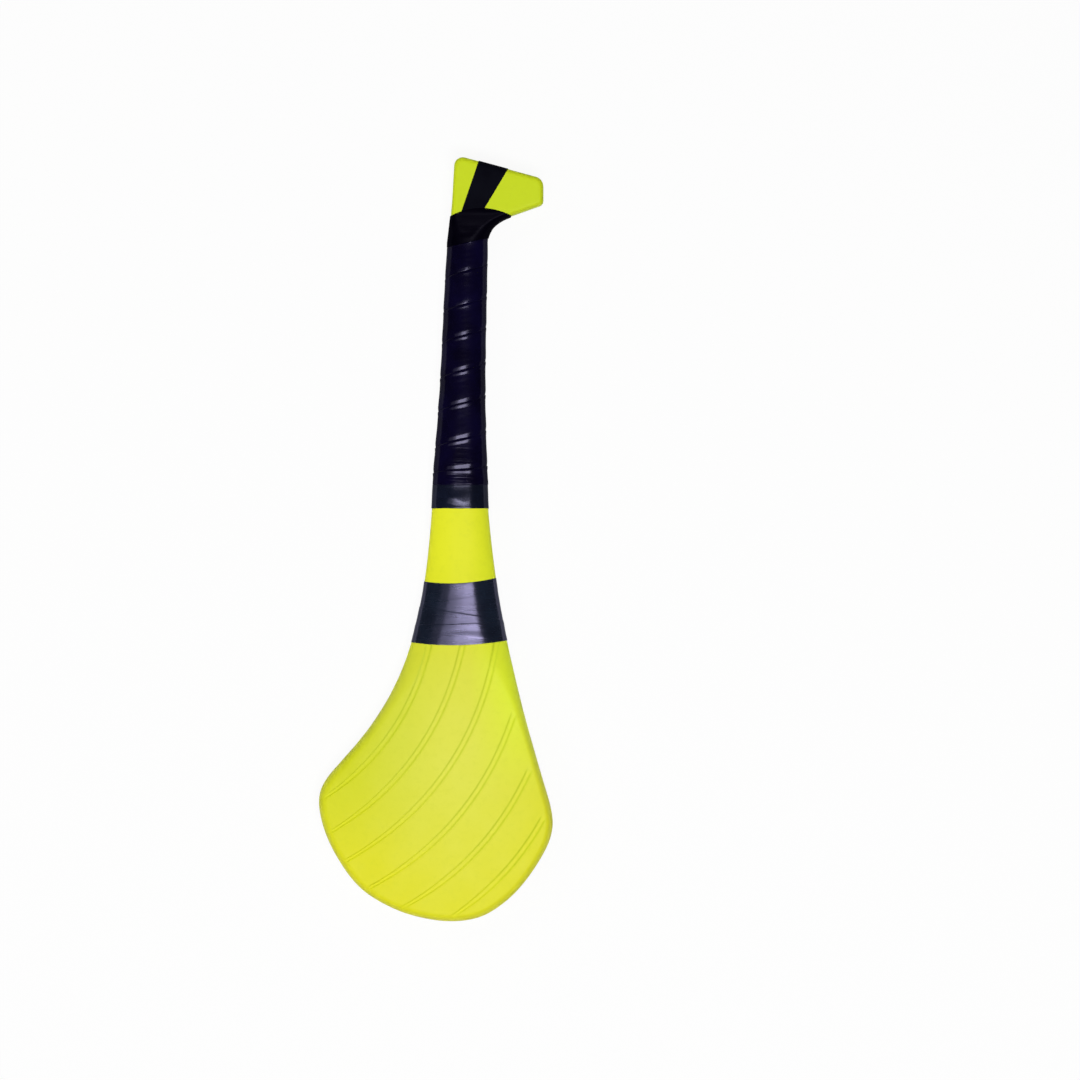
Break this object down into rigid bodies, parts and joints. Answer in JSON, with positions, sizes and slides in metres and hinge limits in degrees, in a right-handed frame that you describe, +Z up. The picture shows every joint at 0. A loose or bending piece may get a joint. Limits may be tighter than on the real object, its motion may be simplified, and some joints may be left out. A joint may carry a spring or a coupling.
{
  "type": "hurley",
  "caption": "Toy hurley, a hollow moulded plastic stick with a broad grooved bas, a taped and wrapped handle and a hooked pommel under a tape strap, for striking a soft ball.",
  "frame": {"origin": "under the middle of the hurley's box, on the surface that it lies on", "axes": "+Z up through the thickness, +Y along the stick towards the pommel, +X to the side on which the pommel juts out"},
  "size_m": [0.14, 0.457, 0.022],
  "materials": {
    "yellow_plastic": "satin moulded polyethylene, bright lemon yellow",
    "black_tape": "black vinyl tape, soft gloss",
    "grip_wrap": "blue-black vinyl wrap, soft gloss",
    "slate_tape": "slate blue-black vinyl tape, satin gloss"
  },
  "bodies": {
    "root": {"moulded_body": "yellow_plastic", "blow_hole_plug": "yellow_plastic", "pommel_strap": "black_tape", "neck_tape": "black_tape", "grip_wrap": "grip_wrap", "grip_end_tape": "slate_tape", "band_tape_upper": "slate_tape", "band_tape_middle": "slate_tape", "band_tape_lower": "slate_tape"}
  },
  "joints": []
}
